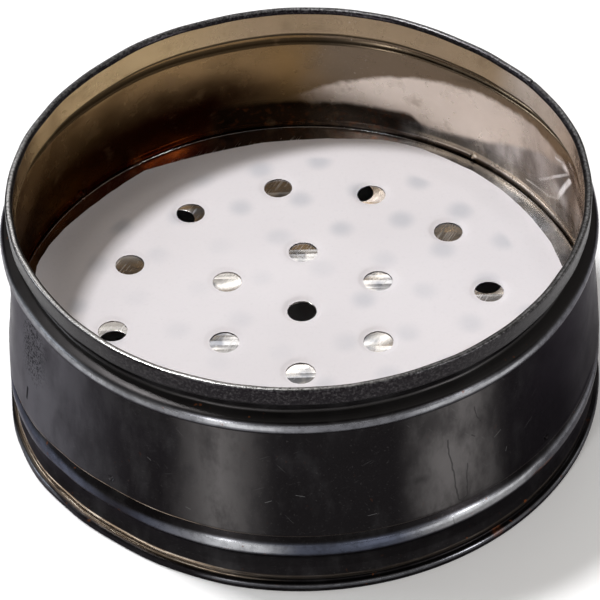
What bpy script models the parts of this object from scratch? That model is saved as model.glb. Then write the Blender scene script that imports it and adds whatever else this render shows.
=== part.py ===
"""Round sheet-steel steamer basket with a perforated base plate and a paper liner.

The wall is one rolled strip: hemmed rim, neck, upper bead, flaring wall, inward ledge, lower bead,
skirt and hemmed foot. A wire stiffens each hem. The base plate stands on the ledge, under four
stakes punched through the wall. The liner lies loose on the plate.
Frame: metres, +Z up along the basket's axis, origin at the centre of the foot on the table.
"""
import math

import bmesh
import bpy
from mathutils import Vector

MM = 0.001
TURN_STEPS = 48            # segments round the axis, shared by every turned piece
SHEET = 0.4                # sheet thickness, mm

# The wall's centreline from the rim hem's raw edge to the foot hem's raw edge.
# Each bend is (radius from the axis, height, bend radius), in mm.
WALL_BENDS = [
    (99.10, 83.4, 0.0),    # raw edge, tucked against the neck
    (100.70, 83.4, 0.6),   # lower corner of the rim hem
    (100.70, 90.2, 0.6),   # rim, outer side
    (98.50, 90.2, 1.5),    # rim, inner side, rounded towards the mouth
    (98.50, 78.7, 1.2),    # foot of the neck
    (103.75, 76.9, 2.5),   # upper bead, the shoulder the next tier sits on
    (103.60, 73.0, 2.0),
    (102.00, 72.2, 0.8),   # top of the wall
    (106.80, 26.5, 0.5),   # foot of the wall
    (103.80, 25.2, 0.8),   # inner edge of the ledge
    (107.10, 21.2, 3.5),   # lower bead
    (107.10, 17.2, 2.5),
    (104.30, 14.2, 3.0),   # waist of the skirt
    (104.90, 9.0, 5.0),
    (106.15, 5.6, 0.5),    # lip above the foot
    (106.00, 3.3, 0.8),    # groove between lip and foot hem
    (108.10, 3.1, 0.8),    # foot hem, outer side
    (108.10, 0.2, 0.6),
    (105.60, 0.2, 0.6),    # foot hem, inner side
    (105.60, 2.0, 0.0),    # raw edge
]
BEND_STEP = 50.0           # degrees of bend per segment

RIM_WIRE_RADIUS = 99.65    # the wires' rings
RIM_WIRE_HEIGHT = 88.8
RIM_WIRE_DIAMETER = 1.1
FOOT_WIRE_RADIUS = 106.85
FOOT_WIRE_HEIGHT = 1.65
FOOT_WIRE_DIAMETER = 1.4
WIRE_SIDES = 6

STAKES = 4                 # punched inward just above the plate's edge
STAKE_RADIUS = 1.1
STAKE_RING = 105.2
STAKE_HEIGHT = 30.25
STAKE_START = 50.8         # degrees from +X

PLATE_RADIUS = 105.2
PLATE_TOP = 28.8
PLATE_FOOT = 27.1          # lower edge of the turned-down rim
PLATE_THICKNESS = 0.5
PLATE_RIM_THICKNESS = 0.8
HOLE_DIAMETER = 10.6
HOLE_PITCH = 22.9          # triangular spacing
HOLE_RINGS_NORM = 13       # the farthest holes stand at the square root of this, in pitches
HOLE_TURN = 10.5           # degrees from +X to a row of holes
HOLE_STEPS = 12

LINER_THICKNESS = 0.3
LINER_HEIGHT = 29.4        # middle of the paper, over the plate
LINER_HOLE_DIAMETER = 10.8
LINER_HOLE_RINGS = [(0.0, 1, 0.0), (31.8, 6, 28.2), (68.6, 12, 6.5)]   # radius, count, start degrees
LINER_CORNERS = [          # the cut edge's corners: degrees from +X, radius
    (-6.0, 100.2), (20.0, 98.6), (40.0, 99.8), (57.0, 100.3), (71.0, 100.1), (98.0, 95.6),
    (126.0, 99.6), (151.0, 100.3), (165.0, 100.4), (190.0, 96.4), (214.0, 99.6), (238.0, 98.2),
    (262.0, 100.6), (286.0, 98.4), (310.0, 100.6), (332.0, 98.8),
]


def collection(name):
    made = bpy.data.collections.new(name)
    bpy.context.scene.collection.children.link(made)
    return made


def material(name, color, roughness, metallic):
    made = bpy.data.materials.new(name)
    made.use_nodes = True
    shader = made.node_tree.nodes["Principled BSDF"]
    shader.inputs["Base Color"].default_value = (*color, 1.0)
    shader.inputs["Roughness"].default_value = roughness
    shader.inputs["Metallic"].default_value = metallic
    return made


def bent_line(bends):
    """The sheet's centreline in the XZ plane: straight legs joined by arcs of the bend radii."""
    points = []
    for index, (radius, height, bend) in enumerate(bends):
        corner = Vector((radius, height))
        if bend == 0.0:
            points.append(corner)
            continue
        back = (Vector(bends[index - 1][:2]) - corner).normalized()
        ahead = (Vector(bends[index + 1][:2]) - corner).normalized()
        opening = back.angle(ahead)
        setback = bend / math.tan(opening / 2)
        centre = corner + (back + ahead).normalized() * (bend / math.sin(opening / 2))
        first = corner + back * setback - centre
        turned = math.pi - opening
        side = math.copysign(1.0, first.cross(corner - centre))
        steps = max(1, round(math.degrees(turned) / BEND_STEP))
        for step in range(steps + 1):
            angle = side * turned * step / steps
            points.append(centre + Vector((
                first.x * math.cos(angle) - first.y * math.sin(angle),
                first.x * math.sin(angle) + first.y * math.cos(angle))))
    return points


def line_object(name, points, closed, home):
    """A profile in the XZ plane, in mm on entry and metres on the mesh."""
    mesh = bpy.data.meshes.new(name)
    verts = [(p[0] * MM, 0.0, p[1] * MM) for p in points]
    edges = [(i, i + 1) for i in range(len(points) - 1)]
    if closed:
        edges.append((len(points) - 1, 0))
    mesh.from_pydata(verts, edges, [])
    made = bpy.data.objects.new(name, mesh)
    home.objects.link(made)
    return made


def turn(thing):
    screw = thing.modifiers.new("turn", "SCREW")
    screw.axis = "Z"
    screw.angle = math.tau
    screw.steps = TURN_STEPS
    screw.render_steps = TURN_STEPS
    screw.use_merge_vertices = True
    screw.merge_threshold = 0.00005
    screw.use_smooth_shade = True
    return screw


def union(thing, other):
    joined = thing.modifiers.new("joined", "BOOLEAN")
    joined.operation = "UNION"
    joined.solver = "EXACT"
    joined.object = other


def circle_spline(curve, x, y, radius, steps):
    spline = curve.splines.new("POLY")
    spline.points.add(steps - 1)
    for step in range(steps):
        angle = math.tau * step / steps
        spline.points[step].co = ((x + radius * math.cos(angle)) * MM, (y + radius * math.sin(angle)) * MM, 0, 1)
    spline.use_cyclic_u = True


def flat_curve(name, thickness):
    curve = bpy.data.curves.new(name, "CURVE")
    curve.dimensions = "2D"
    curve.fill_mode = "BOTH"
    curve.extrude = thickness / 2 * MM
    return curve


def curve_to_mesh(name, curve, height, home):
    """The filled outline as one welded mesh object, with its middle at the height."""
    drawn = bpy.data.objects.new(name + "_outline", curve)
    drawn.location.z = height * MM
    home.objects.link(drawn)
    bpy.context.view_layer.update()
    seen = drawn.evaluated_get(bpy.context.evaluated_depsgraph_get())
    mesh = bpy.data.meshes.new_from_object(seen)
    mesh.name = name
    shape = bmesh.new()
    shape.from_mesh(mesh)
    bmesh.ops.remove_doubles(shape, verts=shape.verts, dist=0.000005)
    shape.to_mesh(mesh)
    shape.free()
    made = bpy.data.objects.new(name, mesh)
    made.matrix_world = drawn.matrix_world.copy()
    home.objects.link(made)
    bpy.data.objects.remove(drawn)
    return made


def cutter(thing):
    thing.hide_render = True
    thing.display_type = "WIRE"


def make_stakes(tools):
    """Four small domes, joined in one object."""
    shape = bmesh.new()
    for index in range(STAKES):
        angle = math.radians(STAKE_START) + math.tau * index / STAKES
        dome = bmesh.ops.create_uvsphere(shape, u_segments=8, v_segments=6, radius=STAKE_RADIUS * MM)
        place = Vector((STAKE_RING * math.cos(angle), STAKE_RING * math.sin(angle), STAKE_HEIGHT)) * MM
        bmesh.ops.translate(shape, verts=dome["verts"], vec=place)
    mesh = bpy.data.meshes.new("stakes")
    shape.to_mesh(mesh)
    shape.free()
    made = bpy.data.objects.new("stakes", mesh)
    tools.objects.link(made)
    cutter(made)
    return made


def make_wall(home, tools, steel):
    wall = line_object("side_wall", bent_line(WALL_BENDS), False, home)
    turn(wall)
    skin = wall.modifiers.new("sheet", "SOLIDIFY")
    skin.thickness = SHEET * MM
    skin.offset = 0.0
    skin.use_even_offset = True
    union(wall, make_stakes(tools))
    wall.data.materials.append(steel)


def make_wire(name, ring, height, diameter, home, steel):
    bpy.ops.mesh.primitive_torus_add(
        major_radius=ring * MM, minor_radius=diameter / 2 * MM,
        major_segments=TURN_STEPS, minor_segments=WIRE_SIDES, location=(0, 0, height * MM))
    wire = bpy.context.object
    wire.name = name
    wire.data.shade_smooth()
    for linked in wire.users_collection:
        linked.objects.unlink(wire)
    home.objects.link(wire)
    wire.data.materials.append(steel)


def plate_holes():
    """Centres of the triangular field of holes, in mm."""
    row = math.radians(HOLE_TURN)
    across = math.radians(HOLE_TURN + 60)
    reach = range(-4, 5)
    for i in reach:
        for j in reach:
            if i * i + i * j + j * j <= HOLE_RINGS_NORM:
                yield (HOLE_PITCH * (i * math.cos(row) + j * math.cos(across)),
                       HOLE_PITCH * (i * math.sin(row) + j * math.sin(across)))


def make_plate(home, tools, steel):
    lap = 0.2              # the disc runs this far into its rim
    drop = 0.05            # and lies this far under the rim's top
    inner = PLATE_RADIUS - PLATE_RIM_THICKNESS
    curve = flat_curve("plate_disc", PLATE_THICKNESS)
    circle_spline(curve, 0, 0, inner + lap, TURN_STEPS)
    for x, y in plate_holes():
        circle_spline(curve, x, y, HOLE_DIAMETER / 2, HOLE_STEPS)
    plate = curve_to_mesh("base_plate", curve, PLATE_TOP - drop - PLATE_THICKNESS / 2, home)
    shoulder = 0.3
    rim = line_object("plate_rim", [
        (inner, PLATE_TOP), (PLATE_RADIUS - shoulder, PLATE_TOP), (PLATE_RADIUS, PLATE_TOP - shoulder),
        (PLATE_RADIUS, PLATE_FOOT), (inner, PLATE_FOOT)], True, tools)
    turn(rim)
    cutter(rim)
    union(plate, rim)
    plate.data.materials.append(steel)


def make_liner(home, paper):
    curve = flat_curve("liner_sheet", LINER_THICKNESS)
    edge = curve.splines.new("POLY")
    edge.points.add(len(LINER_CORNERS) - 1)
    for point, (degrees, radius) in zip(edge.points, LINER_CORNERS):
        angle = math.radians(degrees)
        point.co = (radius * math.cos(angle) * MM, radius * math.sin(angle) * MM, 0, 1)
    edge.use_cyclic_u = True
    for ring, count, start in LINER_HOLE_RINGS:
        for index in range(count):
            angle = math.radians(start) + math.tau * index / count
            circle_spline(curve, ring * math.cos(angle), ring * math.sin(angle), LINER_HOLE_DIAMETER / 2, HOLE_STEPS)
    liner = curve_to_mesh("paper_liner", curve, LINER_HEIGHT, home)
    liner.data.materials.append(paper)


def main():
    for thing in list(bpy.data.objects):
        bpy.data.objects.remove(thing)
    home = collection("steamer_basket")
    tools = collection("cutters")
    wall_steel = material("dark_aged_steel", (0.10, 0.095, 0.095), 0.32, 1.0)
    plate_steel = material("scratched_steel", (0.52, 0.48, 0.44), 0.38, 1.0)
    wire_steel = material("wire_steel", (0.30, 0.24, 0.20), 0.55, 1.0)
    paper = material("white_paper", (0.82, 0.80, 0.80), 0.85, 0.0)
    make_wall(home, tools, wall_steel)
    make_wire("rim_wire", RIM_WIRE_RADIUS, RIM_WIRE_HEIGHT, RIM_WIRE_DIAMETER, home, wire_steel)
    make_wire("foot_wire", FOOT_WIRE_RADIUS, FOOT_WIRE_HEIGHT, FOOT_WIRE_DIAMETER, home, wire_steel)
    make_plate(home, tools, plate_steel)
    make_liner(home, paper)


main()
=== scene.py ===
"""Looks for a round sheet-steel steamer basket with a perforated plate and a paper liner.

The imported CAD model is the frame. The turned steel pieces are made again here with fine bends,
shallow dents and punched dimples, the plate with rounded holes, and the liner as thin cut paper.
Metres, +Z up. Sizes in the tables and in the functions' arguments are in millimetres and degrees
round the axis from +X.
"""

import math

import bmesh
import bpy
import numpy as np
from mathutils import Matrix, Vector, geometry, noise

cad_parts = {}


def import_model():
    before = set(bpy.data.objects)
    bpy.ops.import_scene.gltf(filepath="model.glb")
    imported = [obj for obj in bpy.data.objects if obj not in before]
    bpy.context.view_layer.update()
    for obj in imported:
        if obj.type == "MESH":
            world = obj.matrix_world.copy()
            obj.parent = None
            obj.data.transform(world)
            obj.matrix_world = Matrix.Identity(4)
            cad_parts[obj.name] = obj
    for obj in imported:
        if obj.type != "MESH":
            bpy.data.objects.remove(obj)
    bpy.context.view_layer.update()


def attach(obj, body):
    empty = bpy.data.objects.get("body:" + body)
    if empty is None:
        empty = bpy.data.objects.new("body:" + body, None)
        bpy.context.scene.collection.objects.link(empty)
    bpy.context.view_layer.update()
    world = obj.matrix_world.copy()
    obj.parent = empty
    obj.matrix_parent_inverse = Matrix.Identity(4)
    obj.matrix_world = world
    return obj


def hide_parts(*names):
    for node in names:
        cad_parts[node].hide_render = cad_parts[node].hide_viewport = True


MM = 0.001
SHEET = 0.4                # sheet thickness of the wall
WALL_RADIUS = 105.0        # about half way up the wall, where degrees are turned into mm

# The wall's centreline, as in the CAD: (radius, height, bend radius).
WALL_BENDS = [
    (99.10, 83.4, 0.0), (100.70, 83.4, 0.6), (100.70, 90.2, 0.6), (98.50, 90.2, 1.5),
    (98.50, 78.7, 1.2), (103.75, 76.9, 2.5), (103.60, 73.0, 2.0), (102.00, 72.2, 0.8),
    (106.80, 26.5, 0.5), (103.80, 25.2, 0.8), (107.10, 21.2, 3.5), (107.10, 17.2, 2.5),
    (104.30, 14.2, 3.0), (104.90, 9.0, 5.0), (106.15, 5.6, 0.5), (106.00, 3.3, 0.8),
    (108.10, 3.1, 0.8), (108.10, 0.2, 0.6), (105.60, 0.2, 0.6), (105.60, 2.0, 0.0),
]
RIM_FACES = 4              # bends from the raw edge to the rim's inner corner
BEND_STEP = 15.0
LEG_STEP = 2.2

STAKE_START, STAKE_HEIGHT = 50.8, 30.25
STAKES = [STAKE_START + 90 * k for k in range(4)]

RIM_WIRE = (99.65, 88.8, 1.1)         # ring radius, height, wire diameter
FOOT_WIRE = (106.85, 1.65, 1.4)

PLATE_RADIUS, PLATE_TOP, PLATE_FOOT = 105.2, 28.8, 27.1
PLATE_THICKNESS, PLATE_RIM_THICKNESS = 0.5, 0.8
HOLE_DIAMETER, HOLE_PITCH, HOLE_TURN, HOLE_RINGS_NORM = 10.6, 22.9, 10.5, 13

PAPER_THICKNESS = 0.12
LINER_HOLE_DIAMETER = 10.8
LINER_HOLE_RINGS = [(0.0, 1, 0.0), (31.8, 6, 28.2), (68.6, 12, 6.5)]
LINER_CORNERS = [
    (-6.0, 100.2), (20.0, 98.6), (40.0, 99.8), (57.0, 100.3), (71.0, 100.1), (98.0, 95.6),
    (126.0, 99.6), (151.0, 100.3), (165.0, 100.4), (190.0, 96.4), (214.0, 99.6), (238.0, 98.2),
    (262.0, 100.6), (286.0, 98.4), (310.0, 100.6), (332.0, 98.8),
]


# ---------------------------------------------------------------- shapes

def smooth(value):
    """0 to 1 with no corner at either end."""
    value = np.clip(value, 0.0, 1.0)
    return value * value * (3 - 2 * value)


def apart(degrees, centre):
    """Signed angle from the centre, -180 to 180."""
    return (degrees - centre + 180.0) % 360.0 - 180.0


def hump(distance, reach):
    """1 at no distance, falling smoothly to 0 at the reach."""
    return smooth(1.0 - np.abs(distance) / reach)


def bent_line(bends):
    """The sheet's centreline: straight legs joined by arcs, with the number of bends passed so far."""
    points, passed = [], []
    for index, (radius, height, bend) in enumerate(bends):
        corner = Vector((radius, height))
        if bend == 0.0:
            arc = [corner]
        else:
            back = (Vector(bends[index - 1][:2]) - corner).normalized()
            ahead = (Vector(bends[index + 1][:2]) - corner).normalized()
            opening = back.angle(ahead)
            centre = corner + (back + ahead).normalized() * (bend / math.sin(opening / 2))
            first = corner + back * (bend / math.tan(opening / 2)) - centre
            side = math.copysign(1.0, first.cross(corner - centre))
            steps = max(2, round(math.degrees(math.pi - opening) / BEND_STEP))
            arc = []
            for step in range(steps + 1):
                angle = side * (math.pi - opening) * step / steps
                arc.append(centre + Vector((first.x * math.cos(angle) - first.y * math.sin(angle),
                                            first.x * math.sin(angle) + first.y * math.cos(angle))))
        if points:
            leg = arc[0] - points[-1]
            cuts = leg_cuts(points[-1], arc[0])
            points += [points[-1] + leg * cut for cut in cuts]
            passed += [index] * len(cuts)
        points += arc
        passed += [index + 0.5] * len(arc)
    return np.array([tuple(p) for p in points]), passed


def leg_cuts(start, end):
    """Where a straight leg is divided: evenly, and closely where the dimples are punched."""
    length = (end - start).length
    count = int(length // LEG_STEP)
    cuts = [(k + 1) / (count + 1) for k in range(count)]
    if start.y > STAKE_HEIGHT + 4 and end.y < STAKE_HEIGHT - 3:
        near = [(start.y - (STAKE_HEIGHT + 0.3 * k)) / (start.y - end.y) for k in range(-8, 9)]
        cuts = [c for c in cuts if not near[-1] - 0.01 < c < near[0] + 0.01] + near
    return sorted(cuts)


def turn_angles():
    """Degrees round the axis at which turned pieces have their points: closer at local details."""
    coarse = list(np.arange(0.0, 360.0, 1.5))
    for centre, reach, step in [(s, 1.5, 0.15) for s in STAKES] + [(RIM_JOINT, 1.2, 0.15)]:
        coarse = [a for a in coarse if abs(apart(a, centre)) > reach + 0.1]
        coarse += list((centre + np.arange(-reach, reach + step / 2, step)) % 360.0)
    return np.array(sorted(coarse))


RIM_JOINT = 32.0           # where the rim's ends meet

# How far the basket is out of round, (degrees, mm outward), in its upper and lower parts.
RIM_SWAY = [(-30, 0.0), (0, 0.5), (14, 1.0), (28, 0.5), (42, -0.6), (55, -1.1), (70, -0.3), (88, -0.3),
            (108, -1.1), (122, -0.8), (136, -1.1), (152, -0.4), (168, 0.4), (182, 0.9), (194, 0.6),
            (210, 0.0), (240, 0.45), (270, 0.6), (300, 0.45), (330, 0.0)]
FOOT_SWAY = [(-15, 0.0), (0, 0.0), (150, 0.0), (172, -0.9), (185, -1.1), (198, 0.2), (208, 0.5), (220, -0.6),
             (232, -1.3), (244, -0.8), (258, -0.1), (275, 0.0), (345, 0.0)]


def sway(degrees, table):
    """The table's value at each angle, with smooth turns."""
    places, values = np.array(table, dtype=float).T
    degrees = (degrees - places[0]) % 360.0 + places[0]
    index = np.clip(np.searchsorted(places, degrees, side="right") - 1, 0, len(places) - 2)
    share = smooth((degrees - places[index]) / (places[index + 1] - places[index]))
    return values[index] + (values[index + 1] - values[index]) * share


def dents(degrees, height):
    """How far the real basket is out of round: (outward, upward) in mm at a point of the wall."""
    upper = smooth((height - 20.0) / 60.0)
    on_wall = smooth((height - 27.2) / 2.0) * smooth((72.0 - height) / 3.0)
    turn = np.radians(degrees)
    high = smooth((height - 45.0) / 25.0)
    out = sway(degrees, RIM_SWAY) * high + sway(degrees, FOOT_SWAY) * (1.0 - high)
    pushed_in = smooth((height - 40.0) / 15.0) * smooth((72.0 - height) / 8.0)
    out -= 0.9 * hump(apart(degrees, 184.0), 16.0) * pushed_in
    out += on_wall * (0.16 * np.sin(turn * 7 + height * 0.05) + 0.10 * np.sin(turn * 13 - height * 0.11)
                      + 0.07 * np.sin(turn * 23 + height * 0.17 + 1.0))
    out += 0.06 * np.sin(turn * 31 + 2.0) * smooth((height - 76.0) / 4.0)
    lift = -0.15 * (1 + np.sin(turn * 2 + 0.3)) * upper - 0.05 * (1 + np.sin(turn * 17)) * upper
    # pressed dimples that hold the plate
    for stake in STAKES:
        across = np.radians(apart(degrees, stake)) * 106.0
        span = np.hypot(across / 1.35, (height - STAKE_HEIGHT) / 1.1)
        out -= 1.25 * hump(span, 1.25) * smooth((height - 27.2) / 0.4) * smooth((34 - height) / 1.0)
    # the rim's joint
    slit = hump(np.radians(apart(degrees, RIM_JOINT)) * 99.5, 0.7)
    lift -= 0.35 * slit * smooth((height - 88.6) / 1.0)
    # a knock in the right wall, pushed outward in flat facets that meet in creases
    across = np.radians(apart(degrees, 20.0)) * WALL_RADIUS
    along = height - 57.0
    facets = [(1.0, 0.15, 9.0), (-0.9, 0.5, 14.0), (-0.6, -0.8, 16.0), (0.25, -1.0, 20.0), (0.9, -0.6, 11.0),
              (0.2, 1.0, 11.0)]
    far = np.maximum.reduce([(a * across + b * along) / (w * math.hypot(a, b)) for a, b, w in facets])
    out += 2.1 * np.clip(1.0 - far, 0.0, 1.0)
    # a small step where the lower bead was rolled over its own start
    step = apart(degrees, 318.0)
    out -= 0.35 * hump(step, 2.2) * smooth((height - 16.0) / 2.0) * smooth((24.5 - height) / 1.5)
    return out, lift


def turned(name, closed_line, angles, faces_of=None):
    """A mesh swept round the axis from a closed line of (radius, height), with the dents in it."""
    rows, columns = len(closed_line), len(angles)
    degrees, radius = np.meshgrid(angles, closed_line[:, 0])
    height = np.repeat(closed_line[:, 1][:, None], columns, axis=1)
    out, lift = dents(degrees, height)
    radius, height = radius + out, height + lift
    turn = np.radians(degrees)
    co = np.stack([radius * np.cos(turn), radius * np.sin(turn), height], axis=-1).reshape(-1, 3) * MM
    row, column = np.meshgrid(np.arange(rows), np.arange(columns), indexing="ij")
    below, beside = (row + 1) % rows, (column + 1) % columns
    quads = np.stack([row * columns + column, row * columns + beside,
                      below * columns + beside, below * columns + column], axis=-1).reshape(-1, 4)
    mesh = bpy.data.meshes.new(name)
    mesh.from_pydata(co.tolist(), [], quads.tolist())
    mesh.polygons.foreach_set("use_smooth", [True] * len(quads))
    if faces_of is not None:
        mesh.polygons.foreach_set("material_index", np.repeat(faces_of, columns).tolist())
    mesh.update()
    made = bpy.data.objects.new(name, mesh)
    bpy.context.scene.collection.objects.link(made)
    outward(made)
    return made


def outward(thing):
    """Faces of a closed mesh point out of it."""
    shape = bmesh.new()
    shape.from_mesh(thing.data)
    bmesh.ops.recalc_face_normals(shape, faces=shape.faces)
    shape.to_mesh(thing.data)
    shape.free()


def side_wall(looks):
    """The rolled strip, with its two faces and its raw edges."""
    line, passed = bent_line(WALL_BENDS)
    along = np.diff(line, axis=0)
    along /= np.linalg.norm(along, axis=1)[:, None]
    left = np.stack([-along[:, 1], along[:, 0]], axis=1)
    mitre = np.vstack([left[:1], left[:-1] + left[1:], left[-1:]])
    mitre /= np.linalg.norm(mitre, axis=1)[:, None]
    cosine = np.sum(mitre * np.vstack([left[:1], left]), axis=1)
    step = mitre * (SHEET / 2 / np.maximum(cosine, 0.7))[:, None]
    inner = (line - step)[::-1]
    # the foot's inner face leans in towards the plate
    foot = (inner[:, 1] > 28.2) & (inner[:, 1] < 34.0) & (inner[:, 0] > 104.5)
    inner[foot, 0] -= 0.85 * smooth((31.2 - inner[foot, 1]) / 2.2)
    loop = np.vstack([line + step, inner])
    outside, inside, rim = 0, 1, 2
    faces = []
    for index in range(len(line)):
        faces.append(outside if passed[index] > RIM_FACES - 1 else rim)
    for index in reversed(range(len(line))):
        faces.append(rim if passed[index] < RIM_FACES - 0.2 else inside)
    wall = turned("wall", loop, turn_angles(), np.array(faces))
    for look in looks:
        wall.data.materials.append(look)
    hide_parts("side_wall")
    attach(wall, "basket")
    return wall


def wire(name, node, ring, height, diameter, look):
    """A stiffening wire in a hem, bent with the hem."""
    angles = np.radians(np.arange(0, 360, 30.0))
    loop = np.stack([ring + diameter / 2 * np.cos(angles), height + diameter / 2 * np.sin(angles)], axis=1)
    made = turned(name, loop, np.arange(0.0, 360.0, 1.5))
    made.data.materials.append(look)
    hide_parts(node)
    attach(made, "basket")
    return made


def circle(curve, x, y, radius, steps):
    spline = curve.splines.new("POLY")
    spline.points.add(steps - 1)
    for step in range(steps):
        angle = math.tau * step / steps
        at_x, at_y = x + radius * math.cos(angle), y + radius * math.sin(angle)
        spline.points[step].co = (at_x * MM, at_y * MM, 0, 1)
    spline.use_cyclic_u = True


def plate_holes():
    row, across = math.radians(HOLE_TURN), math.radians(HOLE_TURN + 60)
    for i in range(-4, 5):
        for j in range(-4, 5):
            if i * i + i * j + j * j <= HOLE_RINGS_NORM:
                yield (HOLE_PITCH * (i * math.cos(row) + j * math.cos(across)),
                       HOLE_PITCH * (i * math.sin(row) + j * math.sin(across)))


def base_plate(look):
    """The perforated disc with rounded hole edges, and its turned-down rim, as one mesh."""
    rounding, shoulder = 0.1, 0.45
    inner = PLATE_RADIUS - PLATE_RIM_THICKNESS
    curve = bpy.data.curves.new("plate_disc", "CURVE")
    curve.dimensions, curve.fill_mode = "2D", "BOTH"
    curve.extrude = (PLATE_THICKNESS / 2 - rounding) * MM
    curve.bevel_depth, curve.bevel_resolution = rounding * MM, 1
    circle(curve, 0, 0, inner + 0.1, 240)
    for x, y in plate_holes():
        circle(curve, x, y, HOLE_DIAMETER / 2 + rounding, 48)
    drawn = bpy.data.objects.new("plate_disc", curve)
    drawn.location.z = (PLATE_TOP - 0.05 - PLATE_THICKNESS / 2) * MM
    bpy.context.scene.collection.objects.link(drawn)
    bpy.context.view_layer.update()
    mesh = bpy.data.meshes.new_from_object(drawn.evaluated_get(bpy.context.evaluated_depsgraph_get()))
    mesh.transform(drawn.matrix_world)
    bpy.data.objects.remove(drawn)
    plate = bpy.data.objects.new("plate", mesh)
    bpy.context.scene.collection.objects.link(plate)
    shape = bmesh.new()
    shape.from_mesh(mesh)
    bmesh.ops.remove_doubles(shape, verts=shape.verts, dist=0.000004)
    bmesh.ops.recalc_face_normals(shape, faces=shape.faces)
    shape.to_mesh(mesh)
    shape.free()
    rounded = [(inner + 0.05, PLATE_TOP), (PLATE_RADIUS - shoulder, PLATE_TOP)]
    for step in range(1, 7):
        angle = math.radians(90 - 15 * step)
        rounded.append((PLATE_RADIUS - shoulder + shoulder * math.cos(angle),
                        PLATE_TOP - shoulder + shoulder * math.sin(angle)))
    rounded += [(PLATE_RADIUS, PLATE_FOOT + 0.1), (PLATE_RADIUS - 0.1, PLATE_FOOT), (inner, PLATE_FOOT),
                (inner, PLATE_TOP - 0.3)]
    ring = round_piece("plate_rim", np.array(rounded), 240)
    joined = plate.modifiers.new("rim", "BOOLEAN")
    joined.operation, joined.solver, joined.object = "UNION", "EXACT", ring
    bpy.context.view_layer.update()
    whole = bpy.data.meshes.new_from_object(plate.evaluated_get(bpy.context.evaluated_depsgraph_get()))
    plate.modifiers.clear()
    plate.data = whole
    bpy.data.objects.remove(ring)
    whole.name = "plate"
    whole.polygons.foreach_set("use_smooth", [True] * len(whole.polygons))
    whole.set_sharp_from_angle(angle=math.radians(35))
    whole.materials.clear()
    whole.materials.append(look)
    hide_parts("base_plate")
    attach(plate, "basket")
    return plate


def round_piece(name, loop, steps):
    """A true round ring from a closed line."""
    turn = np.radians(np.arange(steps) * 360.0 / steps)
    co = np.stack([loop[:, None, 0] * np.cos(turn), loop[:, None, 0] * np.sin(turn),
                   loop[:, None, 1] + 0 * turn], axis=-1).reshape(-1, 3) * MM
    rows = len(loop)
    quads = [(r * steps + c, r * steps + (c + 1) % steps, (r + 1) % rows * steps + (c + 1) % steps,
              (r + 1) % rows * steps + c) for r in range(rows) for c in range(steps)]
    mesh = bpy.data.meshes.new(name)
    mesh.from_pydata(co.tolist(), [], quads)
    made = bpy.data.objects.new(name, mesh)
    bpy.context.scene.collection.objects.link(made)
    outward(made)
    return made


def liner_edge():
    """The hand-cut outline: straight snips between the corners, with small nicks."""
    corners = [Vector((radius * math.cos(math.radians(degrees)), radius * math.sin(math.radians(degrees))))
               for degrees, radius in LINER_CORNERS]
    outline = []
    for index, corner in enumerate(corners):
        following = corners[(index + 1) % len(corners)]
        across = (following - corner).normalized()
        outside = Vector((across.y, -across.x))
        steps = round((following - corner).length / 1.6)
        for step in range(steps):
            share = step / steps
            point = corner.lerp(following, share)
            bow = 1.2 * math.sin(math.pi * share)
            rough = noise.noise(Vector((point.x * 0.22, point.y * 0.22, 3.0)))
            nick = 0.35 * rough * math.sin(math.pi * share)
            outline.append(point + outside * (bow + nick))
    return outline


def liner_holes():
    for ring, count, start in LINER_HOLE_RINGS:
        for index in range(count):
            angle = math.radians(start) + math.tau * index / count
            yield Vector((ring * math.cos(angle), ring * math.sin(angle)))


def paper_height(x, y):
    """How high the paper lies over the plate, in mm, at a point of its flat cut."""
    radius = np.hypot(x, y)
    degrees = np.degrees(np.arctan2(y, x)) % 360.0
    base = PLATE_TOP + 0.20
    swell = 0.9 + 0.25 * np.sin(x * 0.055 + 1.3) * np.cos(y * 0.06 - 0.4)
    # the punch pressed each hole's edge down to the plate
    gap = np.min([np.hypot(x - c.x, y - c.y) for c in liner_holes()], axis=0) - LINER_HOLE_DIAMETER / 2
    swell *= smooth((99.0 - radius) / 12.0) * (1.0 - 0.95 * smooth(1.0 - gap / 2.4))
    left = hump(apart(degrees, 186.0), 34.0)
    curl = 6.5 * left * smooth((radius - 84.0) / 20.0) ** 2
    back = hump(apart(degrees, 80.0), 40.0)
    ripple = 0.5 * back * smooth((radius - 80.0) / 20.0)
    return base + swell + curl + ripple


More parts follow.
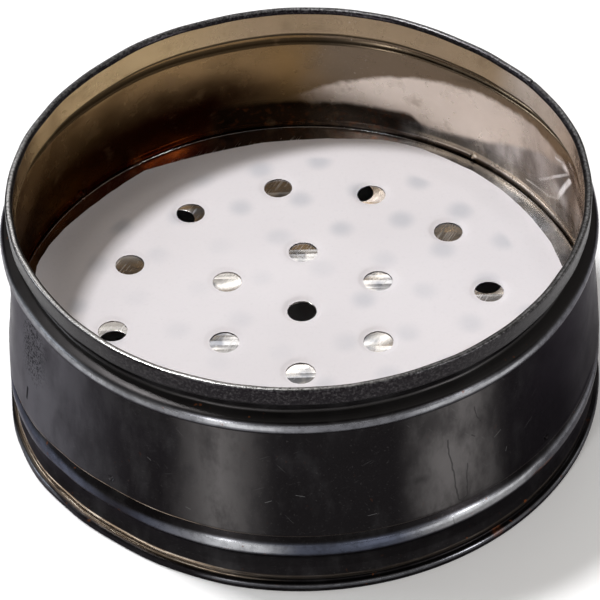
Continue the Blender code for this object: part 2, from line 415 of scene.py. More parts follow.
def paper_liner(look):
    """A thin sheet, cut by hand and punched, with the plate's shape under it."""
    outline = liner_edge()
    hole = LINER_HOLE_DIAMETER / 2
    rings = [outline]
    centres = list(liner_holes())
    around = [Vector((math.cos(t), math.sin(t))) for t in np.arange(36) * math.tau / 36]
    rings += [[centre + step * LINER_HOLE_DIAMETER / 2 for step in around] for centre in centres]
    points, edges = [], []
    for loop in rings:
        first = len(points)
        points += loop
        edges += [(first + k, first + (k + 1) % len(loop)) for k in range(len(loop))]
    for beyond in (0.5, 1.0, 1.6, 2.4):
        points += [centre + step * (hole + beyond) for centre in centres for step in around]
    pitch = 2.6
    for row in range(-45, 46):
        for column in range(-45, 46):
            point = Vector((pitch * (column + 0.5 * (row % 2)), pitch * 0.866 * row))
            if point.length < 93.5 and all((point - c).length > hole + 3.4 for c in centres):
                points.append(point)
    for scale in (0.985, 0.965):
        points += [p * scale for p in outline[::2] if (p * scale).length > 94.5]
    verts, _, faces, _, _, _ = geometry.delaunay_2d_cdt(points, edges, [], 0, 1e-5)
    flat = np.array([tuple(v) for v in verts])
    kept = []
    hole_centres = np.array([tuple(c) for c in centres])
    for face in faces:
        middle = flat[list(face)].mean(axis=0)
        if np.min(np.hypot(*(hole_centres - middle).T)) < hole * 0.985:
            continue
        if inside_loop(middle, outline):
            kept.append(tuple(face))
    height = paper_height(flat[:, 0], flat[:, 1])
    co = np.column_stack([flat, height]) * MM
    mesh = bpy.data.meshes.new("liner")
    mesh.from_pydata(co.tolist(), [], kept)
    paper = bpy.data.objects.new("liner", mesh)
    bpy.context.scene.collection.objects.link(paper)
    shape = bmesh.new()
    shape.from_mesh(mesh)
    loose = [v for v in shape.verts if not v.link_faces]
    bmesh.ops.delete(shape, geom=loose, context="VERTS")
    bmesh.ops.recalc_face_normals(shape, faces=shape.faces)
    if sum(f.normal.z for f in shape.faces) < 0:
        bmesh.ops.reverse_faces(shape, faces=shape.faces)
    shape.to_mesh(mesh)
    flat_area = sum(f.calc_area() for f in shape.faces)
    shape.free()
    mesh.polygons.foreach_set("use_smooth", [True] * len(mesh.polygons))
    skin = paper.modifiers.new("thickness", "SOLIDIFY")
    skin.thickness, skin.offset = PAPER_THICKNESS * MM, 0.0
    bpy.context.view_layer.update()
    thick = bpy.data.meshes.new_from_object(paper.evaluated_get(bpy.context.evaluated_depsgraph_get()))
    paper.modifiers.clear()
    paper.data = thick
    thick.set_sharp_from_angle(angle=math.radians(50))
    thick.materials.clear()
    thick.materials.append(look)
    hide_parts("paper_liner")
    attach(paper, "liner")
    return paper


def inside_loop(point, loop):
    """Whether a point is inside a closed outline, by crossing count."""
    x, y = point
    found = False
    for index, (ax, ay) in enumerate(loop):
        bx, by = loop[index - 1]
        if (ay > y) != (by > y) and x < (bx - ax) * (y - ay) / (by - ay) + ax:
            found = not found
    return found


# ---------------------------------------------------------------- materials

class Look:
    """A node material. Its methods add nodes and return output sockets."""

    def __init__(self, name):
        self.material = bpy.data.materials.new(name)
        self.material.use_nodes = True
        self.tree = self.material.node_tree
        self.shader = self.tree.nodes["Principled BSDF"]
        self.place = self.node("ShaderNodeTexCoord").outputs["Object"]
        split = self.node("ShaderNodeSeparateXYZ", Vector=self.place)
        self.x, self.y, self.z = [self.math("MULTIPLY", axis, 1000.0) for axis in split.outputs]
        self.radius = self.length(self.x, self.y)
        self.degrees = self.math("DEGREES", self.math("ARCTAN2", self.y, self.x))

    def node(self, kind, **inputs):
        made = self.tree.nodes.new(kind)
        for name, value in inputs.items():
            self.feed(made.inputs[name.replace("_", " ")], value)
        return made

    def feed(self, socket, value):
        if isinstance(value, bpy.types.NodeSocket):
            self.tree.links.new(value, socket)
        else:
            socket.default_value = value

    def math(self, operation, *values, clamp=False):
        made = self.tree.nodes.new("ShaderNodeMath")
        made.operation = operation
        made.use_clamp = clamp
        for socket, value in zip(made.inputs, values):
            self.feed(socket, value)
        return made.outputs[0]

    def vector(self, operation, *values, output=0, scale=None):
        made = self.tree.nodes.new("ShaderNodeVectorMath")
        made.operation = operation
        for socket, value in zip(made.inputs, values):
            self.feed(socket, value)
        if scale is not None:
            self.feed(made.inputs["Scale"], scale)
        return made.outputs[output]

    def times(self, *values):
        product = values[0]
        for value in values[1:]:
            product = self.math("MULTIPLY", product, value)
        return product

    def most(self, *values):
        top = values[0]
        for value in values[1:]:
            top = self.math("MAXIMUM", top, value)
        return top

    def length(self, *sides):
        """The hypotenuse of two sides."""
        return self.math("SQRT", self.math("ADD", *[self.math("POWER", side, 2.0) for side in sides]))

    def fade(self, value, start, end, low=0.0, high=1.0):
        """Low before start, high after end, and smooth between."""
        made = self.node("ShaderNodeMapRange", Value=value)
        made.interpolation_type = "SMOOTHSTEP"
        made.inputs["From Min"].default_value = start
        made.inputs["From Max"].default_value = end
        made.inputs["To Min"].default_value = low
        made.inputs["To Max"].default_value = high
        return made.outputs["Result"]

    def away(self, centre):
        """Unsigned degrees from a direction round the axis."""
        offset = self.math("SUBTRACT", self.degrees, centre)
        return self.math("ABSOLUTE", self.math("WRAP", offset, 180.0, -180.0))

    def arc(self, centre, half, soft):
        return self.fade(self.away(centre), half, half + soft, 1.0, 0.0)

    def belt(self, centre, half, soft):
        """A belt of heights."""
        gap = self.math("ABSOLUTE", self.math("SUBTRACT", self.z, centre))
        return self.fade(gap, half, half + soft, 1.0, 0.0)

    def spot(self, degrees, height, wide, tall, soft=0.5, wobble=None):
        """An oval patch on the wall; its soft edge is a share of its size."""
        across = self.math("DIVIDE", self.away(degrees), wide)
        along = self.math("DIVIDE", self.math("SUBTRACT", self.z, height), tall)
        far = self.length(across, along)
        if wobble is not None:
            far = self.math("ADD", far, wobble)
        return self.fade(far, 1.0 - soft, 1.0, 1.0, 0.0)

    def cells(self, place, seed, contrast, **inputs):
        """Noise whose fourth coordinate is the seed."""
        made = self.node("ShaderNodeTexNoise", **inputs)
        made.noise_dimensions = "4D"
        made.inputs["W"].default_value = seed
        self.tree.links.new(place, made.inputs["Vector"])
        value = made.outputs["Fac"]
        return value if contrast is None else self.fade(value, *contrast)

    def noise(self, scale, detail=3.0, roughness=0.5, stretch=None, seed=0.0, contrast=None):
        """Noise of this many cells per metre; stretch scales the axes first."""
        place = self.place if stretch is None else self.vector("MULTIPLY", self.place, stretch)
        return self.cells(place, seed, contrast, Scale=scale, Detail=detail, Roughness=roughness)

    def rings(self, scale_up, scale_round, seed=0.0, detail=2.0, contrast=None):
        """Noise drawn out round the axis, as turning and rolling leave it."""
        place = self.node("ShaderNodeCombineXYZ", X=self.times(self.degrees, scale_round),
                          Y=self.times(self.z, scale_up), Z=self.times(self.radius, scale_up * 0.7))
        return self.cells(place.outputs[0], seed, contrast, Scale=1.0, Detail=detail)

    def stroke(self, start, end, width, wobble=0.0):
        """A thin line on the wall between two (degrees, height) points."""
        middle = (start[0] + end[0]) / 2
        offset = self.math("WRAP", self.math("SUBTRACT", self.degrees, middle), 180.0, -180.0)
        across = self.times(offset, math.radians(1.0) * WALL_RADIUS)
        if wobble:
            shake = self.noise(160.0, 2.0, seed=start[1])
            across = self.math("ADD", across, self.times(self.math("SUBTRACT", shake, 0.5), wobble))
        here = self.node("ShaderNodeCombineXYZ", X=across, Y=self.z).outputs[0]
        first = Vector((math.radians(start[0] - middle) * WALL_RADIUS, start[1], 0))
        step = Vector((math.radians(end[0] - middle) * WALL_RADIUS, end[1], 0)) - first
        from_first = self.vector("SUBTRACT", here, first)
        along = self.vector("DOT_PRODUCT", from_first, step / step.length_squared, output=1)
        share = self.math("ADD", along, 0.0, clamp=True)
        nearest = self.vector("SCALE", step, scale=share)
        gap = self.vector("DISTANCE", from_first, nearest, output=1)
        return self.fade(gap, width * 0.3, width, 1.0, 0.0)

    def strokes(self, *rows):
        return self.most(*[self.stroke(*row) for row in rows])

    def mix(self, share, first, second):
        made = self.tree.nodes.new("ShaderNodeMix")
        made.data_type = "RGBA"
        self.feed(made.inputs[0], share)
        self.feed(made.inputs[6], as_color(first))
        self.feed(made.inputs[7], as_color(second))
        return made.outputs[2]

    def blend(self, share, first, second):
        made = self.tree.nodes.new("ShaderNodeMix")
        self.feed(made.inputs[0], share)
        self.feed(made.inputs[2], first)
        self.feed(made.inputs[3], second)
        return made.outputs[0]

    def finish(self, color, roughness, height=None, depth=0.0):
        """Color and roughness, and a bump whose height of 0 to 1 stands for this depth in mm."""
        self.feed(self.shader.inputs["Base Color"], as_color(color))
        self.feed(self.shader.inputs["Roughness"], roughness)
        if height is not None:
            bump = self.node("ShaderNodeBump", Height=height, Distance=depth * MM, Strength=1.0)
            self.tree.links.new(bump.outputs[0], self.shader.inputs["Normal"])
        return self.material


def as_color(value):
    return (*value, 1.0) if isinstance(value, tuple) and len(value) == 3 else value


def outside_steel():
    """Blackened, hand-worn steel: polished beads with painted highlights, painted reflections on the wall, a
    tan lip over the foot, rust specks, scratches.
    """
    look = Look("outside_steel")
    look.shader.inputs["Metallic"].default_value = 1.0
    look.shader.inputs["Anisotropic"].default_value = 0.4
    look.shader.inputs["Specular Tint"].default_value = (0.55, 0.54, 0.56, 1.0)
    look.shader.inputs["Anisotropic Rotation"].default_value = 0.25
    around = look.node("ShaderNodeTangent")
    around.direction_type, around.axis = "RADIAL", "Z"
    look.tree.links.new(around.outputs[0], look.shader.inputs["Tangent"])
    clouds = look.noise(38.0, 4.0, 0.6, seed=1.0)
    smears = look.noise(60.0, 5.0, 0.65, seed=8.0, stretch=(1.0, 1.0, 0.45))
    fine = look.noise(1100.0, 3.0, 0.7, seed=2.0)
    rolled = look.rings(1.6, 0.12, seed=3.0)
    color = look.mix(clouds, (0.0052, 0.0045, 0.0048), (0.0120, 0.0110, 0.0117))
    color = look.mix(look.fade(smears, 0.46, 0.70, 0.0, 0.60), color, (0.030, 0.029, 0.030))
    color = look.mix(look.fade(fine, 0.58, 0.74, 0.0, 0.40), color, (0.060, 0.057, 0.056))
    # painted sheen: the shoulder under the hem is made lighter than its shade
    shoulder_sheen = look.times(look.belt(78.0, 1.3, 0.4), look.fade(look.radius, 103.4, 102.8))
    color = look.mix(look.times(shoulder_sheen, 0.7), color, (0.040, 0.038, 0.038))
    # two upright bands of painted reflection on the wall
    wall = look.belt(49.5, 21.5, 2.0)
    drift = look.math("ADD", look.times(look.math("SUBTRACT", smears, 0.5), 22.0), look.away(254.0))
    drift = look.math("MINIMUM", drift, look.math("ADD", look.away(298.5), -2.0))
    reflection_bands = look.times(look.fade(drift, 0.0, 11.0, 1.0, 0.0), wall)
    reflection_bands = look.times(reflection_bands, look.fade(smears, 0.32, 0.62, 0.30, 1.0))
    color = look.mix(look.times(reflection_bands, 0.8), color, (0.125, 0.118, 0.117))
    # a painted bluish reflection on the wall at the left
    blue_reflection_left = look.times(look.arc(203.0, 4.0, 30.0), wall, look.fade(smears, 0.30, 0.60, 0.45, 1.0))
    color = look.mix(look.times(blue_reflection_left, 0.8), color, (0.105, 0.103, 0.114))
    # painted shade darkening the wall at the right
    shade_right = look.times(look.arc(350.0, 22.0, 26.0), wall)
    color = look.mix(look.times(shade_right, 0.75), color, (0.0022, 0.0018, 0.0020))
    # beads and hems rubbed bright, with painted highlights and painted bluish reflection along them
    bead = look.times(look.fade(look.radius, 102.4, 103.3), look.belt(75.2, 0.8, 1.2))
    low_bead = look.times(look.fade(look.radius, 105.7, 106.8), look.belt(20.0, 1.4, 1.8))
    foot_hem = look.times(look.fade(look.radius, 107.6, 108.1), look.belt(2.7, 0.4, 0.6))
    rubbed_and_highlit = look.most(bead, low_bead, look.times(foot_hem, 0.8))
    patchy = look.noise(340.0, 4.0, 0.65, seed=4.0, contrast=(0.34, 0.60))
    uneven = look.noise(16.0, 3.0, seed=10.0, contrast=(0.38, 0.62))
    rub_and_highlight = look.times(rubbed_and_highlit, look.fade(patchy, 0.0, 1.0, 0.70, 1.0), look.fade(uneven, 0.0, 1.0, 0.55, 1.0))
    # painted bluish reflection on the beads
    bead_blue_reflection = look.most(look.arc(277.0, 6.0, 16.0), look.arc(212.0, 24.0, 14.0))
    bead_blue_reflection = look.times(bead_blue_reflection, look.belt(20.0, 3.0, 1.0))
    color = look.mix(rub_and_highlight, color, look.mix(bead_blue_reflection, (0.155, 0.157, 0.172), (0.080, 0.090, 0.125)))
    # painted highlights on the beads where the lamps shine in them
    bead_highlight = look.most(look.arc(258.0, 2.0, 9.0), look.arc(304.0, 6.0, 12.0))
    bead_highlight = look.times(bead_highlight, look.most(look.belt(75.3, 0.35, 0.7), look.belt(20.0, 1.1, 1.2)), rub_and_highlight)
    bead_highlight = look.most(bead_highlight, look.times(look.arc(208.0, 18.0, 30.0), look.belt(75.4, 0.6, 0.9), rub_and_highlight, 0.7))
    color = look.mix(look.times(bead_highlight, 0.85), color, (0.52, 0.53, 0.55))
    # tan colour on the lip above the foot, strongest at the left, and a painted highlight on the crease over
    # the ledge
    left = look.arc(218.0, 16.0, 34.0)
    lip = look.times(look.belt(5.3, 0.55, 0.5), look.fade(left, 0.0, 1.0, 0.06, 1.0))
    groove = look.times(look.belt(3.9, 0.25, 0.35), left, 0.7)
    crease_highlight = look.times(look.belt(26.70, 0.08, 0.26), look.fade(left, 0.0, 1.0, 0.04, 0.6))
    tan = look.times(look.most(lip, groove, crease_highlight), look.rings(3.4, 0.12, seed=5.0, contrast=(0.34, 0.50)))
    color = look.mix(tan, color, look.mix(look.rings(5.0, 0.2, seed=5.5, contrast=(0.52, 0.62)),
                                          (0.36, 0.27, 0.19), (0.92, 0.80, 0.66)))
    # rust
    flecks = look.noise(430.0, 2.0, 0.5, seed=6.0, contrast=(0.67, 0.71))
    near = look.most(look.belt(76.0, 2.4, 1.0), look.belt(20.0, 3.4, 1.0), look.belt(4.0, 3.0, 1.0))
    near = look.fade(near, 0.0, 1.0, 0.10, 1.0)
    rust = look.times(flecks, near, look.noise(34.0, 2.0, seed=7.0, contrast=(0.46, 0.64)))
    run = look.times(look.spot(320.0, 17.8, 5.0, 1.3, 0.7), patchy, 0.6)
    run = look.most(run, look.times(look.spot(307.5, 2.8, 2.0, 1.8, 0.7), patchy, 0.7))
    rust = look.most(rust, run)
    color = look.mix(look.times(rust, 0.75), color, (0.17, 0.052, 0.016))
    # a pitted patch, slits and scored lines
    pitting = look.noise(1150.0, 3.0, 0.6, seed=9.0, contrast=(0.50, 0.56))
    ragged = look.times(look.math("SUBTRACT", look.noise(90.0, 3.0, seed=13.0), 0.5), 1.4)
    pits = look.times(look.spot(207.5, 60.0, 6.5, 15.0, 0.6, ragged), pitting, 0.85)
    knock = look.times(look.spot(291.0, 43.6, 2.6, 3.0, 1.0), 0.45)
    slit = look.stroke((205.6, 39.5), (205.3, 34.5), 0.9)
    pits = look.most(pits, slit, knock, look.spot(222.0, 13.0, 0.5, 0.8, 0.6))
    scored = look.strokes(
        ((296.8, 56.6), (297.6, 43.0), 0.42, 2.4), ((297.6, 43.0), (298.5, 28.9), 0.42, 2.0),
        ((300.8, 43.0), (300.2, 29.2), 0.34, 2.4),
        ((298.5, 28.9), (299.3, 27.6), 0.3), ((299.3, 27.6), (300.2, 29.2), 0.3),
        ((302.6, 66.0), (303.4, 61.0), 0.34, 2.0), ((303.4, 61.0), (304.0, 58.6), 0.34, 2.0),
        ((301.9, 54.4), (302.6, 53.2), 0.36, 1.0), ((298.0, 12.0), (297.4, 21.0), 0.3, 1.6))
    dark = look.most(look.times(scored, look.fade(smears, 0.30, 0.60, 0.20, 0.55)), look.times(pits, 0.9))
    color = look.mix(dark, color, (0.003, 0.003, 0.003))
    light = look.strokes(
        ((307.0, 48.2), (308.6, 49.8), 0.16, 0.8), ((281.0, 33.2), (282.6, 33.5), 0.16),
        ((262.4, 41.2), (263.6, 42.2), 0.16), ((268.0, 44.8), (269.6, 44.2), 0.15),
        ((239.4, 48.6), (240.1, 47.8), 0.18), ((309.9, 40.6), (309.6, 39.0), 0.16),
        ((303.6, 22.4), (304.2, 20.8), 0.28), ((247.4, 32.8), (248.3, 32.3), 0.16))
    hairs = look.most(hairlines(look, 25.0, 14.0), hairlines(look, -50.0, 15.0))
    light = look.most(look.times(light, 0.38), look.times(hairs, wall, 0.16))
    color = look.mix(light, color, (0.20, 0.20, 0.20))
    height = look.math("ADD", look.times(rolled, 0.30), look.times(clouds, 0.4))
    height = look.math("SUBTRACT", height, look.times(dark, 0.9))
    height = look.math("ADD", height, look.times(fine, 0.12))
    worn = look.noise(750.0, 3.0, 0.65, seed=4.5)
    height = look.math("ADD", height, look.times(worn, rubbed_and_highlit, 0.45))
    roughness = look.blend(look.most(rub_and_highlight, tan), look.fade(clouds, 0.3, 0.7, 0.32, 0.44), 0.21)
    roughness = look.math("ADD", roughness, look.times(look.most(rust, pits), 0.35))
    return look.finish(color, roughness, height, 0.06)


def hairlines(look, tilt, seed):
    """Sparse hair-fine scratches that lean this many degrees from level."""
    across = look.times(look.degrees, math.radians(1.0) * WALL_RADIUS)
    lean = math.radians(tilt)
    along = look.math("ADD", look.times(across, math.cos(lean)), look.times(look.z, math.sin(lean)))
    beside = look.math("SUBTRACT", look.times(look.z, math.cos(lean)), look.times(across, math.sin(lean)))
    place = look.node("ShaderNodeCombineXYZ", X=look.times(along, 0.10), Y=look.times(beside, 1.9))
    lines = look.cells(place.outputs[0], seed, (0.70, 0.74), Scale=1.0, Detail=1.0)
    return look.times(lines, look.noise(50.0, 2.0, seed=seed + 0.5, contrast=(0.48, 0.60)))


def rim_steel():
    """The rim's hem: a painted highlight along its top and inner edge, dark and grainy below, with painted
    shade under its lower edge.
    """
    look = Look("rim_steel")
    look.shader.inputs["Metallic"].default_value = 1.0
    grain = look.noise(1000.0, 4.0, 0.7, seed=11.0)
    clouds = look.noise(90.0, 3.0, 0.6, seed=12.0)
    # painted highlight along the top, in a grainy lighter colour
    top = look.fade(look.z, 89.4, 90.1)
    dim = look.mix(look.fade(grain, 0.45, 0.72), (0.010, 0.0085, 0.0100), (0.055, 0.051, 0.053))
    painted_highlight = look.mix(look.fade(grain, 0.42, 0.66), (0.012, 0.012, 0.014), (0.120, 0.118, 0.125))
    color = look.mix(look.times(top, look.fade(clouds, 0.35, 0.65, 0.25, 1.0)), dim, painted_highlight)
    # painted highlight on the top's inner edge, strongest at the front left
    edge_highlight = look.times(look.fade(look.radius, 101.3, 100.9), look.fade(look.z, 89.75, 90.05))
    edge_highlight = look.times(edge_highlight, look.fade(grain, 0.38, 0.60, 0.45, 1.0))
    edge_highlight = look.times(edge_highlight, look.fade(look.away(225.0), 20.0, 80.0, 0.85, 0.14))
    color = look.mix(edge_highlight, color, (0.62, 0.61, 0.60))
    # painted shade under the hem's lower edge
    shaded = look.fade(look.z, 84.3, 83.3)
    color = look.mix(look.times(shaded, 0.85), color, (0.0020, 0.0016, 0.0016))
    height = look.math("ADD", look.times(grain, 0.6), look.times(clouds, 0.6))
    roughness = look.blend(edge_highlight, look.fade(grain, 0.3, 0.7, 0.26, 0.44), 0.22)
    return look.finish(color, roughness, height, 0.05)


def inside_steel():
    """The food side: bare steel at the right, stained brown by steam and darkened with painted reflections
    from the back round to the left, darkest low on the left.
    """
    look = Look("inside_steel")
    look.shader.inputs["Metallic"].default_value = 1.0
    look.shader.inputs["Specular Tint"].default_value = (0.75, 0.62, 0.52, 1.0)
    clouds = look.noise(34.0, 5.0, 0.62, seed=21.0)
    blots = look.noise(120.0, 4.0, 0.6, seed=22.0)
    fine = look.noise(1000.0, 3.0, 0.6, seed=23.0)
    rolled = look.rings(2.2, 0.10, seed=24.0)
    wobble = look.math("SUBTRACT", clouds, 0.5)
    shake = look.math("SUBTRACT", blots, 0.5)
    wiped = look.noise(55.0, 4.0, 0.6, seed=28.0, stretch=(1.0, 1.0, 0.35), contrast=(0.36, 0.64))
    color = look.mix(clouds, (0.60, 0.515, 0.435), (0.90, 0.82, 0.74))
    dull = look.times(look.arc(8.0, 20.0, 16.0), look.fade(wiped, 0.0, 1.0, 1.0, 0.35))
    color = look.mix(look.times(dull, 0.8), color, (0.34, 0.30, 0.275))
    # a painted dark reflection band: steel stays bright under this height, which falls away to the back
    back = look.math("SUBTRACT", look.degrees, 38.0)
    line = look.math("SUBTRACT", 67.0, look.times(back, back, 0.0085))
    over = look.math("SUBTRACT", look.z, line)
    over = look.math("ADD", over, look.math("ADD", look.times(wobble, 9.0), look.times(shake, 3.0)))
    dark_reflection_band = look.times(look.fade(over, -1.2, 1.6), look.arc(45.0, 45.0, 10.0))
    color = look.mix(dark_reflection_band, color, (0.170, 0.130, 0.090))
    # brown staining from the back round to the left, with painted dark reflection over it that is darkest
    # low down, and a painted red-brown reflection near the plate
    spread = look.math("ADD", look.away(145.0), look.times(wobble, 16.0))
    brown = look.fade(spread, 52.0, 66.0, 1.0, 0.0)
    color = look.mix(look.times(brown, 0.97), color, (0.215, 0.135, 0.055))
    level = look.math("ADD", look.z, look.math("ADD", look.times(wobble, 12.0), look.times(shake, 10.0)))
    dark_reflection_low = look.times(look.fade(level, 44.0, 68.0, 1.0, 0.0), look.fade(spread, 34.0, 56.0, 1.0, 0.15))
    color = look.mix(look.times(brown, dark_reflection_low), color, (0.016, 0.0018, 0.0003))
    red_reflection = look.times(brown, look.fade(level, 36.0, 31.0, 0.0, 0.6))
    red_reflection = look.times(red_reflection, look.noise(70.0, 3.0, seed=26.0, contrast=(0.42, 0.60)))
    color = look.mix(look.times(red_reflection, 0.55), color, (0.11, 0.026, 0.004))
    # a painted dark reflection low at the back, with an edge that climbs to the left, and rust grit in it
    corner = look.math("SUBTRACT", 41.0, look.fade(look.degrees, 66.0, 59.0, 0.0, 13.0))
    under = look.math("SUBTRACT", look.math("ADD", look.z, look.times(shake, 3.0)), corner)
    low = look.times(look.fade(under, -1.5, 1.5, 1.0, 0.0), look.arc(84.0, 22.0, 3.0))
    color = look.mix(look.times(low, 0.95), color, (0.014, 0.0065, 0.0035))
    grit = look.noise(420.0, 2.0, 0.5, seed=25.0, contrast=(0.55, 0.68))
    color = look.mix(look.times(low, grit, 0.35), color, (0.16, 0.050, 0.015))
    # blue-grey tint low at the right and a painted highlight on the fillet at the wall's foot
    tint_line = look.math("ADD", 36.0, look.fade(look.degrees, 62.0, 18.0, 0.0, 24.0))
    tint = look.math("SUBTRACT", look.math("ADD", look.z, look.times(wobble, 6.0)), tint_line)
    tint = look.times(look.fade(tint, -1.5, 2.0, 1.0, 0.0), look.arc(25.0, 38.0, 6.0))
    streaks = look.noise(70.0, 4.0, 0.6, seed=27.0, stretch=(1.0, 1.0, 0.25), contrast=(0.38, 0.62))
    tinted = look.mix(streaks, (0.10, 0.095, 0.095), (0.50, 0.485, 0.48))
    color = look.mix(look.times(tint, 0.85), color, tinted)
    # painted highlights on the creases where the wall was knocked, and painted shade in the knock's hollow
    painted_highlight = look.most(look.spot(21.3, 61.0, 2.0, 3.4, 0.9), look.spot(18.2, 66.6, 1.7, 2.4, 0.9),
                       look.stroke((20.4, 56.0), (24.2, 42.8), 1.6, 1.2),
                       look.times(look.spot(24.6, 44.5, 4.2, 6.5, 0.9), 0.55))
    faint_highlights = look.strokes(((31.2, 41.8), (20.6, 59.4), 0.8, 1.6), ((24.6, 62.0), (17.6, 62.6), 0.9, 1.2),
                         ((35.6, 35.8), (28.5, 37.5), 0.7, 1.4), ((28.5, 37.5), (24.6, 41.6), 0.8, 1.4))
    knock_highlights = look.most(painted_highlight, look.times(faint_highlights, look.fade(wiped, 0.0, 1.0, 0.25, 0.65)))
    # painted shade in the knock's hollow
    color = look.mix(look.times(look.spot(22.0, 54.0, 10.0, 14.0, 0.8), 0.6), color, (0.14, 0.125, 0.115))
    color = look.mix(knock_highlights, color, (1.0, 1.0, 1.0))
    # painted highlight along the fillet at the wall's foot
    fillet_highlight = look.times(look.belt(31.5, 0.8, 0.9), look.arc(15.0, 42.0, 10.0))
    color = look.mix(look.times(fillet_highlight, 0.9), color, (0.86, 0.76, 0.66))
    # painted shade on the wall's foot, in the seam between it and the plate
    seam_shade = look.times(look.fade(look.z, 29.6, 30.6, 1.0, 0.0), look.arc(25.0, 38.0, 10.0))
    color = look.mix(look.times(seam_shade, 0.9), color, (0.030, 0.018, 0.010))
    # the neck's tan band: pale at the left, dull at the back
    neck = look.fade(look.z, 77.6, 78.9)
    pale = look.mix(look.arc(155.0, 30.0, 30.0), (0.36, 0.275, 0.175), (0.52, 0.395, 0.215))
    pale = look.mix(look.arc(18.0, 14.0, 12.0), pale, (0.60, 0.54, 0.47))
    color = look.mix(look.times(neck, look.fade(clouds, 0.3, 0.7, 0.75, 1.0)), color, pale)
    # painted shade in the groove under the neck and along the bead's lower ridge
    groove = look.times(look.belt(78.5, 0.9, 0.7), look.arc(125.0, 40.0, 30.0))
    groove = look.most(look.belt(79.0, 0.25, 0.45), groove)
    ridge = look.times(look.belt(72.6, 0.8, 0.8), look.arc(130.0, 45.0, 20.0))
    under_neck_shade = look.most(look.belt(78.2, 0.9, 0.6), groove, ridge)
    color = look.mix(look.times(under_neck_shade, 0.85), color, (0.022, 0.015, 0.009))
    color = look.mix(look.fade(blots, 0.58, 0.72, 0.0, 0.30), color, (0.20, 0.130, 0.075))
    specks = look.times(look.fade(fine, 0.62, 0.75, 0.0, 0.22), look.fade(brown, 0.0, 1.0, 1.0, 0.15))
    color = look.mix(specks, color, (0.85, 0.80, 0.75))
    height = look.math("ADD", look.times(rolled, 0.4), look.times(clouds, 0.6))
    roughness = look.blend(under_neck_shade, look.fade(blots, 0.3, 0.7, 0.17, 0.32), 0.65)
    return look.finish(color, roughness, height, 0.05)


def plate_steel():
    """Bare sheet with hand-scrubbed diagonal scratches."""
    look = Look("plate_steel")
    look.shader.inputs["Metallic"].default_value = 1.0
    clouds = look.noise(55.0, 4.0, 0.6, seed=31.0)
    turned_place = look.node("ShaderNodeVectorRotate", Vector=look.place, Angle=math.radians(-62.0))
    turned_place.rotation_type = "Z_AXIS"
    long_place = look.vector("MULTIPLY", turned_place.outputs[0], (25.0, 1300.0, 25.0))
    lines = look.node("ShaderNodeTexNoise", Scale=1.0, Detail=3.0, Roughness=0.6)
    look.tree.links.new(long_place, lines.inputs["Vector"])
    scratch = look.noise(120.0, 3.0, seed=34.0, contrast=(0.38, 0.62))
    scratch = look.times(look.fade(lines.outputs["Fac"], 0.52, 0.64), scratch)
    scratch = look.times(scratch, look.fade(look.radius, 96.0, 101.0, 1.0, 0.25))
    color = look.mix(look.fade(clouds, 0.35, 0.65), (0.50, 0.500, 0.52), (0.84, 0.80, 0.76))
    color = look.mix(look.times(scratch, 0.22), color, (0.95, 0.92, 0.89))
    dull = look.noise(75.0, 3.0, seed=33.0, contrast=(0.52, 0.64))
    dull = look.times(dull, look.fade(look.radius, 103.6, 104.3, 1.0, 0.0))
    color = look.mix(look.times(dull, 0.85), color, (0.22, 0.23, 0.26))
    height = look.math("ADD", look.times(lines.outputs["Fac"], 0.12), look.times(clouds, 0.8))
    return look.finish(color, look.fade(scratch, 0.0, 1.0, 0.22, 0.34), height, 0.06)


def wire_steel():
    look = Look("wire_steel")
    look.shader.inputs["Metallic"].default_value = 1.0
    clouds = look.noise(150.0, 4.0, 0.6, seed=41.0)
    color = look.mix(look.fade(clouds, 0.4, 0.6), (0.24, 0.20, 0.17), (0.17, 0.07, 0.03))
    return look.finish(color, look.fade(clouds, 0.3, 0.7, 0.40, 0.75), clouds, 0.06)


def white_paper():
    """Matt white paper, with painted grey shade over each of the plate's holes, and soft fibres."""
    look = Look("white_paper")
    look.shader.inputs["Specular IOR Level"].default_value = 0.2
    fibre = look.noise(700.0, 4.0, 0.65, seed=51.0)
    clouds = look.noise(45.0, 3.0, 0.5, seed=52.0)
    color = look.mix(clouds, (0.735, 0.708, 0.735), (0.785, 0.760, 0.783))
    color = look.mix(look.fade(fibre, 0.5, 0.75, 0.0, 0.35), color, (0.66, 0.64, 0.66))
    # painted shade over each of the plate's holes, as seen through the thin paper
    row = math.radians(HOLE_TURN)
    along = look.vector("DOT_PRODUCT", look.place, (math.cos(row) / MM, math.sin(row) / MM, 0), output=1)
    across = look.vector("DOT_PRODUCT", look.place, (-math.sin(row) / MM, math.cos(row) / MM, 0), output=1)
    gaps = []
    for shift in (0.0, 0.5):
        u = look.math("DIVIDE", along, HOLE_PITCH)
        v = look.math("DIVIDE", across, HOLE_PITCH * math.sqrt(3))
        du = look.math("SUBTRACT", look.math("FRACT", look.math("ADD", u, 0.5 + shift)), 0.5)
        dv = look.math("SUBTRACT", look.math("FRACT", look.math("ADD", v, 0.5 + shift)), 0.5)
        du, dv = look.times(du, HOLE_PITCH), look.times(dv, HOLE_PITCH * math.sqrt(3))
        gaps.append(look.length(du, dv))
    gap = look.math("MINIMUM", *gaps)
    gap = look.math("ADD", gap, look.times(look.math("SUBTRACT", clouds, 0.5), 3.0))
    hole_shade = look.times(look.fade(gap, 1.0, 6.8, 1.0, 0.0), look.fade(look.radius, 83.0, 86.0, 1.0, 0.0))
    uneven = look.noise(14.0, 2.0, seed=53.0, contrast=(0.36, 0.64))
    color = look.mix(look.times(hole_shade, look.fade(uneven, 0.0, 1.0, 0.12, 0.55)), color, (0.46, 0.48, 0.53))
    height = look.math("ADD", look.times(fibre, 0.5), clouds)
    return look.finish(color, 0.85, height, 0.05)


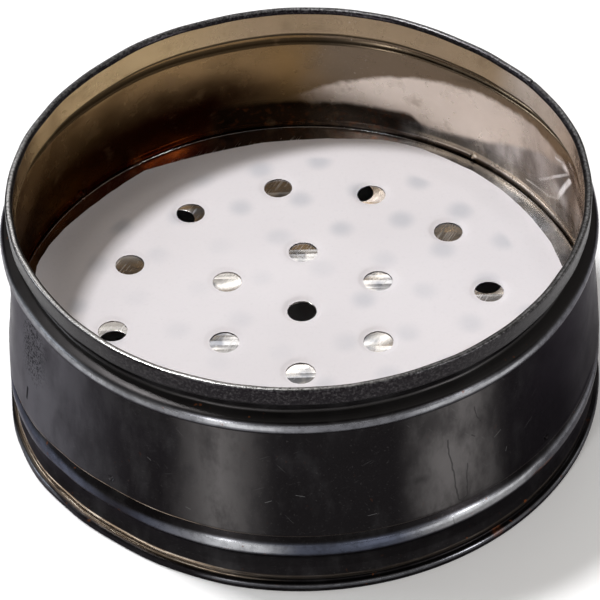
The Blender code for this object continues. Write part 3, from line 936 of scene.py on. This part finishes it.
def pale_floor():
    look = Look("pale_floor")
    mottle = look.noise(3.0, 2.0, seed=61.0)
    color = look.mix(mottle, (0.945, 0.945, 0.947), (0.965, 0.965, 0.967))
    look.shader.inputs["Specular IOR Level"].default_value = 0.1
    return look.finish(color, 0.9)


# ---------------------------------------------------------------- stage

def floor(look):
    mesh = bpy.data.meshes.new("floor")
    half, low = 6.0, 0.0
    mesh.from_pydata([(-half, -half, low), (half, -half, low), (half, half, low), (-half, half, low)], [],
                     [(0, 1, 2, 3)])
    mesh.materials.append(look)
    made = bpy.data.objects.new("floor", mesh)
    bpy.context.scene.collection.objects.link(made)


def lamp(name, degrees, elevation, distance, size, power, color=(1.0, 1.0, 1.0), aim=(0.0, 0.0, 0.05)):
    """A soft box, (wide, tall) in metres, that looks at the basket."""
    data = bpy.data.lights.new(name, "AREA")
    data.shape, data.energy, data.color = "RECTANGLE", power, color
    data.size, data.size_y = size
    made = bpy.data.objects.new(name, data)
    turn, rise = math.radians(degrees), math.radians(elevation)
    away = Vector((math.cos(turn) * math.cos(rise), math.sin(turn) * math.cos(rise), math.sin(rise)))
    side = Vector((-math.sin(turn), math.cos(turn), 0.0))
    made.matrix_world = Matrix.Translation(Vector(aim) + away * distance) @ Matrix(
        (side, away.cross(side), away)).transposed().to_4x4()
    bpy.context.scene.collection.objects.link(made)


def sky(strength, color):
    world = bpy.data.worlds.new("sky")
    bpy.context.scene.world = world
    world.use_nodes = True
    background = world.node_tree.nodes["Background"]
    background.inputs["Color"].default_value = (*color, 1.0)
    background.inputs["Strength"].default_value = strength


def camera():
    """From the front and above, a long lens, tilted a little to the side."""
    rise, roll = math.radians(43.23), math.radians(1.5)
    data = bpy.data.cameras.new("camera")
    data.lens, data.sensor_width = 168.0, 36.0
    data.clip_start, data.clip_end = 0.05, 50.0
    made = bpy.data.objects.new("camera", data)
    side = Vector((1, 0, 0))
    up = Vector((0, math.sin(rise), math.cos(rise)))
    back = Vector((0, -math.cos(rise), math.sin(rise)))
    right = side * math.cos(roll) - up * math.sin(roll)
    top = side * math.sin(roll) + up * math.cos(roll)
    turn = Matrix((right, top, back)).transposed()
    made.matrix_world = Matrix.Translation((-0.0006, -0.7341, 0.7248)) @ turn.to_4x4()
    bpy.context.scene.collection.objects.link(made)
    bpy.context.scene.camera = made


def main():
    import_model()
    side_wall([outside_steel(), inside_steel(), rim_steel()])
    worn_wire = wire_steel()
    wire("rim_ring", "rim_wire", *RIM_WIRE, worn_wire)
    wire("foot_ring", "foot_wire", *FOOT_WIRE, worn_wire)
    base_plate(plate_steel())
    paper_liner(white_paper())
    floor(pale_floor())
    camera()
    bpy.context.scene.view_settings.view_transform = "Standard"
    sky(0.34, (1.0, 0.955, 0.90))
    lamp("key", 152.0, 68.0, 1.6, (0.18, 0.18), 18.5, (0.995, 0.99, 1.0))
    lamp("front", 275.0, 12.0, 1.7, (1.5, 0.30), 3.0)
    lamp("front_left", 240.0, 18.0, 1.6, (0.20, 0.80), 8.0)
    lamp("front_right", 323.0, 18.0, 1.6, (0.20, 0.80), 9.0)
    lamp("back", 90.0, 42.0, 1.8, (1.2, 0.30), 2.8)
    lamp("right", 10.0, 12.0, 1.8, (0.5, 0.5), 1.5)
    lamp("left", 172.0, 20.0, 1.7, (0.6, 0.5), 8.0, (0.86, 0.93, 1.0))
    bpy.context.view_layer.update()


main()
